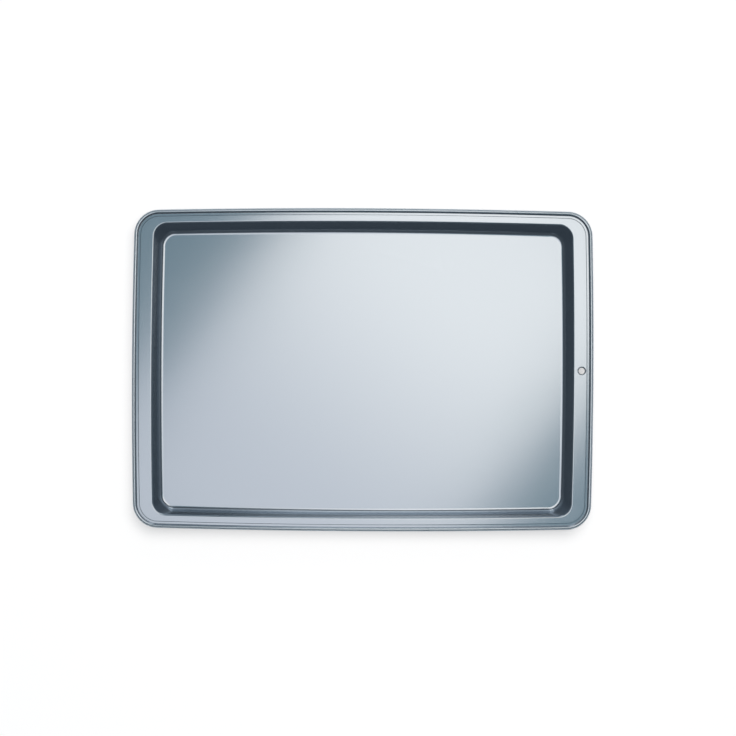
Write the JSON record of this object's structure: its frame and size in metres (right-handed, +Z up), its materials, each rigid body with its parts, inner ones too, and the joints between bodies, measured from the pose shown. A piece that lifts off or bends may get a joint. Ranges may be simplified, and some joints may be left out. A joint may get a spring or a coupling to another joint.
{
  "type": "cookie sheet",
  "caption": "Shallow rectangular cookie sheet with sloped walls, a flat flange with a hang hole, and an edge rolled round a stiffening wire.",
  "frame": {"origin": "centre of the floor's underside, on the surface that the pan stands on", "axes": "+X along the long side, towards the hang hole; +Y along the short side; +Z up, out of the pan's mouth"},
  "size_m": [0.44, 0.308, 0.0196],
  "materials": {
    "nonstick_coating": "satin metallic blue-grey non-stick coating on steel",
    "steel_wire": "drawn steel wire, plain"
  },
  "bodies": {
    "root": {"pan_sheet": "nonstick_coating", "rim_wire": "steel_wire"}
  },
  "joints": []
}
